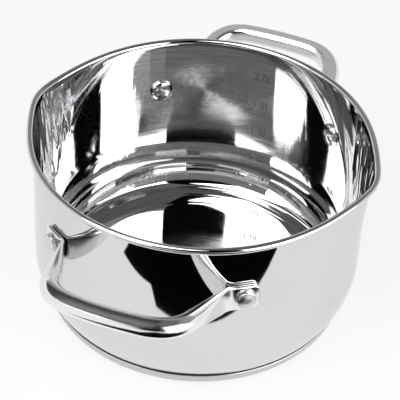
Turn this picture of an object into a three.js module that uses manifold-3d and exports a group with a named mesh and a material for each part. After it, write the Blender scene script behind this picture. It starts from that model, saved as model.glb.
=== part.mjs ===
// Two-handled stainless steel cooking pot with a pouring lip on either side.
// Millimetres, +Z up. The origin is the centre of the base's underside, the
// pouring lips point along X and the handles along Y. The front is at -Y.

import * as THREE from 'three';
import { mergeVertices } from 'three/addons/utils/BufferGeometryUtils.js';
import Module from 'manifold-3d';

// Pot body: one drawn steel sheet
const wallRadius = 90.4;        // outside of the upright wall
const bodySheet = 0.8;
const potHeight = 106;          // top of the rolled rim above the table
const rimWidth = 3.8;           // rolled rim, measured from the wall's inner face
const wallFootHeight = 34;      // where the upright wall starts to curve in
const sweepInset = 6.8;         // how far the wide curve below it brings the wall in
const cornerRadius = 6.5;       // tight curve from there to the floor

// Pouring lips: soft swellings of the wall that are widest at the rim
const lipReach = 5;             // how far the rim stands out at the lip's middle
const lipWidth = 14;            // distance along the rim in which it fades to two thirds
const lipDepth = 58;            // how far below the rim the swelling starts
const lipFade = 1.6;            // power by which it grows towards the rim
const lipNarrowing = 0.65;      // share of its width that it loses from the rim to its start

// Base: an aluminium disc in a steel cap, bonded under the pot
const spreaderThickness = 4.8;
const capSheet = 0.6;
const capLap = 2.6;             // how far the cap reaches up round the pot's corner
const capEdgeRadius = 8;        // outer rounding of the cap

// Handles: bent tubes with ends pressed flat
const tubeDiameter = 10.8;
const tubeWall = 1;
const pressedSlit = 0.3;        // what is left of the bore in the pressed ends
const gripSpacing = 67;         // between the grip's two corners
const handleReach = 40.1;       // from the wall to the middle of the grip
const gripBow = 3.2;            // how far the grip bows out between its corners
const gripRise = 14.2;          // grip's height above the feet
const gripCorner = 14;          // length taken up by each corner of the grip
const footLength = 8.8;         // from a rivet's middle to the bend into the arm
const footBend = 3.5;           // length taken up by that bend
const footEnd = 7;              // from a rivet's middle to the tip of its foot
const footTipRadius = 3.5;      // rounding of the tip's two corners

// Rivets: a wide low head inside, a small high head outside
const rivetDrop = 33.8;         // rivet axis below the top of the rim
const rivetSpacing = 105;       // between a handle's two rivets, at the wall
const shankRadius = 2.5;
const innerHeadRadius = 6.8;
const innerHeadHeight = 2.6;
const outerHeadRadius = 4.7;
const outerHeadHeight = 3;
const headEdge = 0.9;           // upright edge of a head below its dome

// Clearance between pieces that touch on the real pot
const seatGap = 0.3;

// Fineness of the facets
const turns = 64;               // round the pot
const curveSteps = 4;           // along each curve of a turned profile
const beadSteps = 10;           // round the rolled rim
const wallSteps = 5;            // up the wall
const tubeSides = 12;
const boreSides = 8;
const tipShares = [0, 0.3, 1];  // along the rounding of a foot's tip
const footSteps = 2;
const bendSteps = 4;
const armSteps = 6;
const cornerSteps = 6;
const gripSteps = 4;            // along half of the grip
const rivetSides = 16;
const domeSteps = 3;

const footThickness = 2 * tubeWall + pressedSlit;
const undersideHeight = capSheet + spreaderThickness + 2 * seatGap;
const capHeight = undersideHeight + capLap;
const rivetHeight = potHeight - rivetDrop;

// A handle's rivets stand square to the wall, this far to either side of its middle.
const rivetAngle = Math.asin(rivetSpacing / 2 / wallRadius);

const wasm = await Module();
wasm.setup();

// Closed mesh to solid: only positions are kept, and triangles without area are dropped.
function solidFrom(geometry) {
  const bare = geometry.clone();
  for (const name of Object.keys(bare.attributes)) {
    if (name !== 'position') bare.deleteAttribute(name);
  }
  const merged = mergeVertices(bare);
  const corners = merged.index.array;
  const triangles = [];
  for (let i = 0; i < corners.length; i += 3) {
    const [a, b, c] = corners.slice(i, i + 3);
    if (a !== b && b !== c && c !== a) triangles.push(a, b, c);
  }
  return new wasm.Manifold(new wasm.Mesh({
    numProp: 3,
    vertProperties: Float32Array.from(merged.attributes.position.array),
    triVerts: Uint32Array.from(triangles),
  }));
}

function geometryFrom(solid) {
  const mesh = solid.getMesh();
  const geometry = new THREE.BufferGeometry();
  geometry.setAttribute('position', new THREE.BufferAttribute(mesh.vertProperties, 3));
  geometry.setIndex(new THREE.BufferAttribute(mesh.triVerts, 1));
  geometry.computeVertexNormals();
  return geometry;
}

// Points along an arc in a profile, both ends included. Angles are in radians.
function arc(x, y, radius, from, to, steps) {
  return Array.from({ length: steps + 1 }, (_, i) => {
    const angle = from + (to - from) * i / steps;
    return new THREE.Vector2(x + radius * Math.cos(angle), y + radius * Math.sin(angle));
  });
}

// Solid of revolution about Z. The profile runs up the outside and back to the axis.
function turned(profile) {
  return new THREE.LatheGeometry(profile, turns).rotateX(Math.PI / 2);
}

// Middles of the two curves below the wall, and the angle at which one passes into the other.
// The wide curve touches the wall and the tight one, and its radius follows from that.
const cornerX = wallRadius - sweepInset - cornerRadius;
const cornerHeight = undersideHeight + cornerRadius;
const sweepDrop = wallFootHeight - cornerHeight;
const sweepRadius = cornerRadius + (sweepInset ** 2 + sweepDrop ** 2) / (2 * sweepInset);
const sweepX = wallRadius - sweepRadius;
const curveMeet = Math.atan2(-sweepDrop, cornerX - sweepX);

// One face of the sheet, from the axis to the foot of the wall.
function bowlProfile(inset) {
  return [
    new THREE.Vector2(0, undersideHeight + inset),
    ...arc(cornerX, cornerHeight, cornerRadius - inset, -Math.PI / 2, curveMeet, curveSteps),
    ...arc(sweepX, wallFootHeight, sweepRadius - inset, curveMeet, 0, curveSteps).slice(1),
  ];
}

// Extra distance from the axis that a pouring lip gives to a point of the wall.
function lipSwelling(angle, height) {
  const climb = (height - (potHeight - lipDepth)) / lipDepth;
  if (climb <= 0) return 0;
  const share = Math.min(climb, 1);
  const width = lipWidth * (1 - lipNarrowing * (1 - share));
  const fromLip = Math.min(Math.abs(angle), Math.PI - Math.abs(angle));
  return lipReach * share ** lipFade / Math.cosh(fromLip * wallRadius / width);
}

function potBody() {
  const beadRadius = rimWidth / 2;
  const beadX = wallRadius - bodySheet + beadRadius;
  const beadHeight = potHeight - beadRadius;
  const beadStart = -Math.acos((wallRadius - beadX) / beadRadius);
  const bead = arc(beadX, beadHeight, beadRadius, beadStart, Math.PI, beadSteps);
  const outerWall = Array.from({ length: wallSteps - 1 }, (_, i) => new THREE.Vector2(
    wallRadius, THREE.MathUtils.lerp(wallFootHeight, bead[0].y, (i + 1) / wallSteps)));
  const innerWall = outerWall.map((p) => new THREE.Vector2(wallRadius - bodySheet, p.y)).reverse();
  const geometry = turned([
    ...bowlProfile(0), ...outerWall, ...bead, ...innerWall, ...bowlProfile(bodySheet).reverse(),
  ]);
  const position = geometry.attributes.position;
  const point = new THREE.Vector3();
  for (let i = 0; i < position.count; i++) {
    point.fromBufferAttribute(position, i);
    const radius = Math.hypot(point.x, point.y);
    if (radius === 0) continue;
    const swollen = radius + lipSwelling(Math.atan2(point.y, point.x), point.z);
    position.setXY(i, point.x * swollen / radius, point.y * swollen / radius);
  }
  return solidFrom(geometry);
}

// Outside of the pot's tight corner at a given height.
function cornerRadiusAt(height) {
  return cornerX + Math.sqrt(cornerRadius ** 2 - (cornerHeight - height) ** 2);
}

const capRadius = cornerRadiusAt(capHeight) + seatGap + capSheet;
const capEdge = Math.min(capEdgeRadius, capHeight);

function baseCap() {
  const edge = (inset) => arc(
    capRadius - capEdge, capEdge, capEdge - inset, -Math.PI / 2, 0, curveSteps);
  return solidFrom(turned([
    new THREE.Vector2(0, 0),
    ...edge(0),
    new THREE.Vector2(capRadius, capHeight),
    new THREE.Vector2(capRadius - capSheet, capHeight),
    ...edge(capSheet).reverse(),
    new THREE.Vector2(0, capSheet),
  ]));
}

function heatSpreader() {
  const inset = capSheet + seatGap;
  const top = inset + spreaderThickness;
  const topAngle = Math.asin(Math.min(0, (top - capEdge) / (capEdge - inset)));
  const edge = arc(
    capRadius - capEdge, capEdge, capEdge - inset, -Math.PI / 2, topAngle, curveSteps);
  return solidFrom(turned([
    new THREE.Vector2(0, inset),
    ...edge,
    new THREE.Vector2(edge.at(-1).x, top),
    new THREE.Vector2(0, top),
  ]));
}

// Outline of the tube pressed to a thickness. Its girth stays, so it grows taller as it thins.
// x runs across the thickness and y up the height.
function pressedSection(diameter, thickness, sides) {
  const flat = Math.PI * (diameter - thickness) / 2;
  return Array.from({ length: sides }, (_, i) => {
    const angle = 2 * Math.PI * (i + 0.5) / sides;
    const y = thickness / 2 * Math.sin(angle);
    return new THREE.Vector2(thickness / 2 * Math.cos(angle), y + Math.sign(y) * flat / 2);
  });
}

// Half of a handle on the +Y side, from the tip of its foot to the middle of the grip.
// Each station has a place, how round the tube is there and what the tip's corners take off.
function handleHalf() {
  const footRadius = wallRadius + seatGap + footThickness / 2;
  const onWall = (angle) => new THREE.Vector3(
    footRadius * Math.sin(angle), footRadius * Math.cos(angle), rivetHeight);
  const armAngle = rivetAngle - footLength / footRadius;
  const tipAngle = rivetAngle + footEnd / footRadius;
  const footStart = armAngle + footBend / footRadius;
  const bend = onWall(armAngle);
  const corner = new THREE.Vector3(
    gripSpacing / 2, wallRadius + handleReach - gripBow, rivetHeight + gripRise);
  const along = corner.clone().sub(bend).normalize();
  const armStart = bend.clone().addScaledVector(along, footBend);
  const armEnd = corner.clone().addScaledVector(along, -gripCorner);
  const grip = new THREE.QuadraticBezierCurve3(
    corner,
    new THREE.Vector3(0, corner.y + 2 * gripBow, corner.z),
    corner.clone().multiply(new THREE.Vector3(-1, 1, 1)));
  const gripStart = gripCorner / gripSpacing;
  const stations = [];
  const add = (place, round = 0, trim = 0) => stations.push({ place, round, trim });
  for (const share of tipShares) {
    const trim = footTipRadius * (1 - Math.sqrt(1 - (1 - share) ** 2));
    add(onWall(tipAngle - share * footTipRadius / footRadius), 0, trim);
  }
  const tipEnd = tipAngle - footTipRadius / footRadius;
  for (let i = 1; i <= footSteps; i++) {
    add(onWall(THREE.MathUtils.lerp(tipEnd, footStart, i / footSteps)));
  }
  const footCurve = new THREE.QuadraticBezierCurve3(onWall(footStart), bend, armStart);
  footCurve.getPoints(bendSteps).slice(1).forEach((place) => add(place));
  for (let i = 1; i <= armSteps; i++) {
    const share = i / armSteps;
    add(armStart.clone().lerp(armEnd, share), THREE.MathUtils.smoothstep(share, 0, 1));
  }
  const gripCurve = new THREE.QuadraticBezierCurve3(armEnd, corner, grip.getPoint(gripStart));
  gripCurve.getPoints(cornerSteps).slice(1).forEach((place) => add(place, 1));
  for (let i = 1; i <= gripSteps; i++) {
    add(grip.getPoint(THREE.MathUtils.lerp(gripStart, 0.5, i / gripSteps)), 1);
  }
  return stations;
}

function handleStations() {
  const half = handleHalf();
  const mirrored = half.slice(0, -1).reverse().map((station) => ({
    ...station, place: station.place.clone().multiply(new THREE.Vector3(-1, 1, 1)),
  }));
  return [...half, ...mirrored];
}

// Tube through the stations, inset from the outer skin. Its ends are lengthened by overrun.
function handleTube(inset, sides, overrun) {
  const stations = handleStations();
  const last = stations.length - 1;
  const up = new THREE.Vector3(0, 0, 1);
  const vertices = [];
  stations.forEach(({ place, round, trim }, k) => {
    const ahead = stations[Math.min(k + 1, last)].place.clone()
      .sub(stations[Math.max(k - 1, 0)].place).normalize();
    const side = ahead.clone().cross(up).normalize();
    const rise = side.clone().cross(ahead);
    const end = k === 0 ? -overrun : (k === last ? overrun : 0);
    const centre = place.clone().addScaledVector(ahead, end);
    const thickness = THREE.MathUtils.lerp(footThickness, tubeDiameter, round);
    const section = pressedSection(tubeDiameter - 2 * inset, thickness - 2 * inset, sides);
    const tall = Math.max(...section.map((p) => p.y));
    for (const p of section) {
      const height = p.y * (tall - trim) / tall;
      vertices.push(centre.clone().addScaledVector(side, p.x).addScaledVector(rise, height));
    }
  });
  const triangles = [];
  for (let k = 0; k < last; k++) {
    for (let i = 0; i < sides; i++) {
      const next = (i + 1) % sides;
      const [a, b] = [k * sides + i, k * sides + next];
      const [c, d] = [b + sides, a + sides];
      triangles.push(a, d, b, b, d, c);
    }
  }
  for (let i = 1; i < sides - 1; i++) {
    const end = last * sides;
    triangles.push(0, i, i + 1, end, end + i + 1, end + i);
  }
  const geometry = new THREE.BufferGeometry().setFromPoints(vertices);
  geometry.setIndex(triangles);
  return solidFrom(geometry);
}

// Drill that clears a rivet's shank through the wall and the foot, well past both.
function rivetDrill(angle) {
  const radius = shankRadius + seatGap;
  const length = 4 * (bodySheet + seatGap + footThickness);
  const drill = new THREE.CylinderGeometry(radius, radius, length, rivetSides);
  return solidFrom(drill.translate(0, wallRadius, rivetHeight).rotateZ(angle));
}

function handle() {
  const tube = handleTube(0, tubeSides, 0);
  const bore = handleTube(tubeWall, boreSides, tubeWall);
  return tube.subtract(bore)
    .subtract(rivetDrill(rivetAngle))
    .subtract(rivetDrill(-rivetAngle));
}

// Dome of a head as a shallow arc from its edge to the axis.
function domeProfile(radius, edgeHeight, topHeight) {
  return Array.from({ length: domeSteps + 1 }, (_, i) => {
    const angle = Math.PI / 2 * i / domeSteps;
    const x = i === domeSteps ? 0 : radius * Math.cos(angle);
    return new THREE.Vector2(x, THREE.MathUtils.lerp(edgeHeight, topHeight, Math.sin(angle)));
  });
}

// Rivet along Y, with the wall's outer face at the origin. The inner head is flat underneath,
// so it stands clear of the hollow wall by the wall's rise across it.
function rivet() {
  const innerWall = wallRadius - bodySheet;
  const wallRise = innerWall - Math.sqrt(innerWall ** 2 - innerHeadRadius ** 2);
  const innerSeat = -(bodySheet + seatGap + wallRise);
  const outerSeat = seatGap + footThickness + seatGap;
  const innerDome = domeProfile(
    innerHeadRadius, innerSeat - headEdge, innerSeat - innerHeadHeight).reverse();
  const outerDome = domeProfile(
    outerHeadRadius, outerSeat + headEdge, outerSeat + outerHeadHeight);
  return solidFrom(new THREE.LatheGeometry([
    ...innerDome,
    new THREE.Vector2(innerHeadRadius, innerSeat),
    new THREE.Vector2(shankRadius, innerSeat),
    new THREE.Vector2(shankRadius, outerSeat),
    new THREE.Vector2(outerHeadRadius, outerSeat),
    ...outerDome,
  ], rivetSides));
}

const finishes = {
  mirrorSteel: { color: 0xd6d7d9, roughness: 0.1, metalness: 1 },
  tubeSteel: { color: 0xc9cacc, roughness: 0.18, metalness: 1 },
  satinSteel: { color: 0xb2b3b5, roughness: 0.38, metalness: 1 },
  aluminium: { color: 0xc3c5c8, roughness: 0.5, metalness: 1 },
};

const pot = new THREE.Group();

function addPiece(name, solid, finish) {
  const mesh = new THREE.Mesh(geometryFrom(solid), new THREE.MeshStandardMaterial(finishes[finish]));
  mesh.name = name;
  pot.add(mesh);
  return mesh;
}

// Each handle's turn about Z from the rear, and its rivets' turns. Left is at -X on both.
const handles = [
  { side: 'rear', turn: 0, rivets: { left: rivetAngle, right: -rivetAngle } },
  { side: 'front', turn: Math.PI, rivets: { left: Math.PI - rivetAngle, right: Math.PI + rivetAngle } },
];

let body = potBody();
for (const { rivets } of handles) {
  for (const turn of Object.values(rivets)) body = body.subtract(rivetDrill(turn));
}
addPiece('pot_body', body, 'mirrorSteel');
addPiece('heat_spreader', heatSpreader(), 'aluminium');
addPiece('base_cap', baseCap(), 'satinSteel');

for (const { side, turn, rivets } of handles) {
  addPiece(`handle_${side}`, handle(), 'tubeSteel').rotation.z = turn;
  for (const [hand, rivetTurn] of Object.entries(rivets)) {
    const mesh = addPiece(`rivet_${side}_${hand}`, rivet(), 'mirrorSteel');
    mesh.rotation.z = rivetTurn;
    mesh.position.set(
      -wallRadius * Math.sin(rivetTurn), wallRadius * Math.cos(rivetTurn), rivetHeight);
  }
}

export default pot;
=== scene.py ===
"""Looks of a round stainless steel cooking pot with two riveted tube handles.

Metres, +Z up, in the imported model's own frame: the origin is the centre of the base's
underside, the handles lie along Y and the pouring lips along X.
"""

import math

import bmesh
import bpy
from bpy.props import FloatProperty, FloatVectorProperty, IntProperty, PointerProperty
from mathutils import Matrix, Vector


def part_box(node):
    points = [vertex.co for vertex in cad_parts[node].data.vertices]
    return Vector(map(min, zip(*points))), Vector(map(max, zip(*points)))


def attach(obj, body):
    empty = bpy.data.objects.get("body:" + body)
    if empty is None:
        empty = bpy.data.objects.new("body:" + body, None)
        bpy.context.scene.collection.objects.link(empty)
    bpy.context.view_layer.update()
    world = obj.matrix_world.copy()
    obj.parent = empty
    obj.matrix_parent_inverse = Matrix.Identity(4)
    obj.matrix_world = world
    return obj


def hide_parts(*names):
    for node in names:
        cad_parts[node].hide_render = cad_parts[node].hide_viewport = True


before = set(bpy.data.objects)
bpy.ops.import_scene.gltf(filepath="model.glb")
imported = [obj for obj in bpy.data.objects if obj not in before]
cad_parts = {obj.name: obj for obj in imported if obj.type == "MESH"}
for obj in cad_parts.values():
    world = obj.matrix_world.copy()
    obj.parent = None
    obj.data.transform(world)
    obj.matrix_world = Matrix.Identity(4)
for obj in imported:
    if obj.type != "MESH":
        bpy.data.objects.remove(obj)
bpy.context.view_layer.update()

bl_info = {
    "name": "Cooking pot",
    "version": (1, 0, 0),
    "blender": (4, 5, 0),
    "location": "3D View > Sidebar > Pot",
    "description": "Builds a two-handled stainless steel cooking pot and its studio",
    "category": "Add Mesh",
}

BODY = "root"
# Points closer together than this are one point.
SAME_PLACE = 1e-6
# Nearly all values of a noise lie in this range.
NOISE_RANGE = {"From Min": 0.3, "From Max": 0.7}
# Depth of the fine lines and dents in the metals.
LINE_DEPTH = 0.0001
# A quarter of a turn, as a shader counts turns.
QUARTER_TURN = 0.25
# Share of a font's size that a digit is tall.
DIGIT_SHARE = 0.7
# Nearest distance that the camera sees.
NEAREST_SEEN = 0.01
WHITE = (1, 1, 1, 1)

body_low, body_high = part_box("pot_body")
cap_low, cap_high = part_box("base_cap")
rivet_low, rivet_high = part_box("rivet_rear_left")


def linear(hex_colour):
    """Turn an sRGB hex colour into linear red, green and blue."""
    channels = [int(hex_colour[i:i + 2], 16) / 255 for i in (1, 3, 5)]
    return [c / 12.92 if c <= 0.04045 else ((c + 0.055) / 1.055) ** 2.4 for c in channels]


def length(name, default, description):
    """Make a property that holds a length in metres."""
    return FloatProperty(
        name=name, description=description, default=default, min=0, precision=5, unit="LENGTH")


def length_pair(name, default, description):
    """Make a property that holds two lengths in metres."""
    return FloatVectorProperty(
        name=name, description=description, default=default, size=2, precision=5, unit="LENGTH")


def degrees(name, default, description):
    """Make a property that holds an angle, written in degrees."""
    return FloatProperty(
        name=name, description=description, default=math.radians(default), subtype="ANGLE")


def degrees_pair(name, default, description):
    """Make a property that holds two angles, written in degrees."""
    return FloatVectorProperty(
        name=name, description=description, default=[math.radians(value) for value in default],
        size=2, unit="ROTATION")


def colour(name, default, description):
    """Make a property that holds a colour, written as sRGB hex."""
    return FloatVectorProperty(
        name=name, description=description, default=linear(default), size=3, min=0, max=1,
        subtype="COLOR")


class PotBodySizes(bpy.types.PropertyGroup):
    """Sizes of the drawn and rolled sheet."""

    wall_radius: length("Wall radius", 0.0904, "Outside of the upright wall")
    sheet: length("Sheet", 0.0008, "Thickness of the drawn sheet")
    height: length("Height", body_high.z, "Top of the rolled rim above the table")
    underside: length("Underside", body_low.z, "Underside of the sheet above the table")
    rim_width: length("Rim width", 0.0038, "Rolled rim, from the wall's inner face")
    curl_gap: length("Curl gap", 0.0003, "Crevice between the wall and the rim's curled edge")
    wall_foot: length("Wall foot", 0.034, "Height where the upright wall starts to curve in")
    sweep_inset: length("Sweep inset", 0.0068, "How far the wide curve brings the wall in")
    corner: length("Corner", 0.0065, "Radius of the tight curve to the floor")
    lip_reach: length("Lip reach", 0.005, "How far the rim stands out at a lip's middle")
    lip_width: length("Lip width", 0.014, "Distance along the rim in which a lip fades")
    lip_depth: length("Lip depth", 0.058, "How far below the rim a lip starts")
    lip_narrowing: FloatProperty(
        name="Lip narrowing", description="Share of its width that a lip loses down to its start",
        default=0.65, min=0, max=0.9, subtype="FACTOR")
    lip_fade: FloatProperty(
        name="Lip fade", description="Power by which a lip grows towards the rim", default=1.6)
    ring_radius: length("Floor ring", 0.064, "Middle of the inner groove in the floor")
    ring_spacing: length("Floor ring spacing", 0.0078, "Between the floor's two fine grooves")
    ring_width: length("Floor ring width", 0.0026, "Width of a groove")
    ring_depth: length("Floor ring depth", 0.00006, "Depth of a groove")
    steps_round: IntProperty(
        name="Steps round", description="Faces round the pot", default=288, min=16)


class PotBaseSizes(bpy.types.PropertyGroup):
    """Sizes of the bonded base."""

    radius: length("Cap radius", cap_high.x, "Outside of the base cap")
    height: length("Cap height", cap_high.z, "Upper edge of the base cap")
    sheet: length("Cap sheet", 0.0006, "Thickness of the base cap")
    edge: length("Cap edge", 0.008, "Outer rounding of the base cap")
    dish_radius: length("Dish radius", 0.066, "Edge of the shallow dish under the base")
    dish_slope: length("Dish slope", 0.0055, "Width of the dish's sloping edge")
    dish_depth: length("Dish depth", 0.0003, "Depth of the shallow dish under the base")


class PotHandleSizes(bpy.types.PropertyGroup):
    """Sizes of the bent tubes."""

    tube: length("Tube", 0.0108, "Diameter of the tube")
    tube_wall: length("Tube wall", 0.001, "Wall of the tube")
    slit: length("Slit", 0.0003, "What is left of the bore in the pressed ends")
    slit_depth: length("Slit depth", 0.009, "How deep the slit shows")
    seat_gap: length("Seat gap", 0.0003, "Clearance between a foot and the wall")
    grip_spacing: length("Grip spacing", 0.067, "Between the grip's two corners")
    reach: length("Reach", 0.0401, "From the wall to the middle of the grip")
    grip_bow: length("Grip bow", 0.0032, "How far the grip bows out")
    grip_rise: length("Grip rise", 0.0142, "Grip's height above the feet")
    grip_corner: length("Grip corner", 0.014, "Length taken up by a corner of the grip")
    foot_length: length("Foot length", 0.0088, "From a rivet's middle to the bend")
    foot_bend: length("Foot bend", 0.0035, "Length taken up by the bend")
    foot_end: length("Foot end", 0.007, "From a rivet's middle to the foot's tip")
    tip_radius: length("Tip radius", 0.0035, "Rounding of the tip's corners")
    edge: length("Edge", 0.0003, "Rounding of the tip's cut edge")
    sides: IntProperty(name="Sides", description="Faces round the tube", default=48, min=8)


class PotRivetSizes(bpy.types.PropertyGroup):
    """Sizes of the rivets."""

    height: length("Height", (rivet_low.z + rivet_high.z) / 2, "Rivet axis above the table")
    spacing: length("Spacing", 0.105, "Between a handle's two rivets")
    shank: length("Shank", 0.0025, "Radius of the shank")
    inner_radius: length("Inner head", 0.0068, "Radius of the head inside the pot")
    inner_height: length("Inner height", 0.0026, "Height of the head inside the pot")
    outer_radius: length("Outer head", 0.0052, "Radius of the head on the foot")
    outer_height: length("Outer height", 0.003, "Height of the head on the foot")
    dome: length("Dome", 0.0009, "Rise of the outer head's face")
    edge: length("Edge", 0.0006, "Rounding of the outer head")
    sides: IntProperty(name="Sides", description="Faces round a rivet", default=48, min=8)


class PotScaleSizes(bpy.types.PropertyGroup):
    """Sizes of the litre scale inside the wall."""

    first_height: length("First mark", 0.0286, "Height of the half-litre mark")
    spacing: length("Spacing", 0.01933, "Height of half a litre in the wall")
    tick_start: degrees("Tick start", 98, "Where a mark starts round the wall")
    tick_end: degrees("Tick end", 92.5, "Where a mark ends round the wall")
    number_start: degrees("Number start", 91, "Where a number starts round the wall")
    number_height: length("Number height", 0.0048, "Height of the numbers")
    line: length("Line", 0.00035, "Width of a mark")
    depth: length("Depth", 0.00006, "How far a mark stands off the wall")
    count: IntProperty(name="Marks", description="Number of half-litre marks", default=4, min=1)


class PotFinishes(bpy.types.PropertyGroup):
    """Colours of the metals and the stage."""

    outside_steel: colour("Outside steel", "#DCDCDC", "Mirror polished outside of the pot")
    inside_steel: colour("Inside steel", "#E2E2E3", "Polished inside of the pot")
    tube_steel: colour("Tube steel", "#F0F0F0", "Polished tube")
    rivet_steel: colour("Rivet steel", "#DEDFE0", "Polished rivet heads")
    cap_steel: colour("Cap steel", "#D0D0D0", "Satin base cap")
    aluminium: colour("Aluminium", "#C3C5C8", "Bare disc in the base")
    etching: colour("Etching", "#545456", "Etched marks of the litre scale")
    floor: colour("Floor", "#F4F4F4", "Floor of the stage")
    black_card: colour("Black cards", "#060606", "Cards that give the steel its dark reflections")
    flag: colour("Flag", "#404040", "Dark card over the front grip")
    dark_card: colour("Dark cards", "#686868", "Cards for the dark part of the room")
    grey_card: colour("Grey cards", "#929292", "Cards for the grey part of the room")
    light_card: colour("Light cards", "#B4B4B4", "Cards for the light part of the room")
    pale_card: colour("Pale cards", "#D8D8D8", "Cards for the pale part of the room")


class PotStageSizes(bpy.types.PropertyGroup):
    """Places of the camera, the floor, the cards and the softboxes."""

    azimuth: degrees("Azimuth", 18.87, "Camera's turn round the pot from the front")
    elevation: degrees("Elevation", 39.43, "Camera's angle above the table")
    roll: degrees("Roll", 3.23, "Camera's turn about its own axis")
    distance: length("Distance", 0.9898, "From the camera to the point that it looks at")
    target: FloatVectorProperty(
        name="Target", description="Point that the camera looks at",
        default=(0.00037, 0.00013, 0.06185), subtype="XYZ", unit="LENGTH")
    lens: FloatProperty(
        name="Lens", description="Focal length of the camera in millimetres", default=162)
    floor_size: length("Floor size", 12, "Side of the floor")
    card_distance: length("Card distance", 2.2, "From the pot to the cards that it mirrors")
    round_heights: degrees_pair("Card heights", (20, 48), "Lower and upper edge of the side cards")
    front_distance: length("Front distance", 2, "From the pot to the nearer cards, such as the black one")
    front_turns: degrees_pair("Front turns", (-25, 27.5), "Left and right end of the black card")
    front_heights: degrees_pair("Front heights", (6, 84), "Lower and upper edge of the black card")
    left_turns: degrees_pair("Left turns", (-100, -70), "Ends of the pale card at the left")
    far_left_turns: degrees_pair("Far left turns", (-122, -100), "Ends of the light card beside it")
    front_width: length("Front width", 0.255, "Width of the dark strip on the floor")
    front_right: length("Front right", 0.151, "From the pot's axis to the strip's right end")
    front_left: length("Front left", 0.1435, "From the pot's axis to the strip's left end")
    notch_near: length("Notch near", 0.145, "From the pot's axis to the near side of the notch")
    notch_far: length("Notch far", 0.157, "From the pot's axis to the far side of the notch")
    notch_start: length("Notch start", 0.0735, "Far side of the strip's notch, to the left")
    notch_end: length("Notch end", 0.056, "Near side of the strip's notch, to the left")
    front_lift: length("Front lift", 0.0005, "Height of the dark strip above the floor")
    flag_left: degrees("Flag left", 65, "How far the flags reach to the left, the back one both ways")
    flag_right: degrees("Flag right", 14, "How far the front flag reaches to the right")
    front_flag_near: length_pair(
        "Front flag near", (0.112, 0.112), "Radius and height of the front flag's near edge")
    front_flag_far: length_pair(
        "Front flag far", (0.33, 0.185), "Radius and height of the front flag's far edge")
    back_flag_near: length_pair(
        "Back flag near", (0.122, 0.124), "Radius and height of the back flag's near edge")
    back_flag_far: length_pair(
        "Back flag far", (0.3, 0.12), "Radius and height of the back flag's far edge")
    lamp_distance: length("Lamp distance", 1.4, "From the pot to the planes of the softboxes")
    lamp_strength: FloatProperty(
        name="Lamp strength", description="Watts for each square metre of a softbox", default=10)
    left_aim: degrees_pair("Left aim", (-60, 55), "Turn and height of the left softbox's plane")
    left_across: length_pair("Left across", (-0.31, 0.72), "Left softbox's ends, sideways")
    left_along: length_pair("Left along", (-0.84, 0.7), "Left softbox's ends, upwards")
    right_aim: degrees_pair("Right aim", (45, 0), "Turn and height of the right softbox's plane")
    right_across: length_pair("Right across", (-0.44, 1.4), "Right softbox's ends, sideways")
    right_along: length_pair("Right along", (0.02, 1.42), "Right softbox's ends, upwards")
    soft_light: FloatProperty(
        name="Soft light", description="Strength of the white surroundings as a light", default=0.2)


def add_node(tree, kind, inputs=(), **settings):
    """Add a node with its settings. An input is a value, a socket, or a node's first output."""
    node = tree.nodes.new(kind)
    for name, value in settings.items():
        setattr(node, name, value)
    for key, value in dict(inputs).items():
        if isinstance(value, bpy.types.Node):
            value = value.outputs[0]
        if isinstance(value, bpy.types.NodeSocket):
            tree.links.new(value, node.inputs[key])
        else:
            node.inputs[key].default_value = value
    return node


def new_tree(name, inputs):
    """Start a Geometry Nodes tree with a geometry input, the named inputs and a geometry output."""
    tree = bpy.data.node_groups.new(name, "GeometryNodeTree")
    tree.interface.new_socket("Geometry", in_out="INPUT", socket_type="NodeSocketGeometry")
    tree.interface.new_socket("Geometry", in_out="OUTPUT", socket_type="NodeSocketGeometry")
    for socket_name, socket_type in inputs.items():
        tree.interface.new_socket(socket_name, in_out="INPUT", socket_type=socket_type)
    given = tree.nodes.new("NodeGroupInput").outputs
    return tree, given


def finish_tree(tree, geometry, material):
    """End a tree in real geometry with its material."""
    real = add_node(tree, "GeometryNodeRealizeInstances", {"Geometry": geometry})
    dressed = add_node(tree, "GeometryNodeSetMaterial", {"Geometry": real, "Material": material})
    add_node(tree, "NodeGroupOutput", {"Geometry": dressed})


def grid_round(tree, points, steps, start):
    """Lay out a grid with a row for each point and a column for each step round.

    What comes back is the grid, and the row and the angle of each of its corners.
    """
    count = add_node(
        tree, "GeometryNodeAttributeDomainSize", {"Geometry": points}, component="MESH")
    columns = add_node(tree, "ShaderNodeMath", {0: steps, 1: 1.0}, operation="ADD")
    grid = add_node(tree, "GeometryNodeMeshGrid", {"Vertices X": columns, "Vertices Y": count})
    index = add_node(tree, "GeometryNodeInputIndex")
    row = add_node(tree, "ShaderNodeMath", {0: index, 1: count}, operation="FLOORED_MODULO")
    share = add_node(tree, "ShaderNodeMath", {0: index, 1: count}, operation="DIVIDE")
    column = add_node(tree, "ShaderNodeMath", {0: share}, operation="FLOOR")
    step = add_node(tree, "ShaderNodeMath", {0: math.tau, 1: steps}, operation="DIVIDE")
    angle = add_node(
        tree, "ShaderNodeMath", {0: column, 1: step, 2: start}, operation="MULTIPLY_ADD")
    return grid, row, angle


def read_rows(tree, points, row, names, kind="FLOAT"):
    """Read what the points hold under the given names, each at its row of a grid."""
    values = []
    for name in names:
        held = add_node(tree, "GeometryNodeInputNamedAttribute", {"Name": name}, data_type=kind)
        values.append(add_node(
            tree, "GeometryNodeSampleIndex", {"Geometry": points, "Value": held, "Index": row},
            data_type=kind))
    return values


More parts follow.
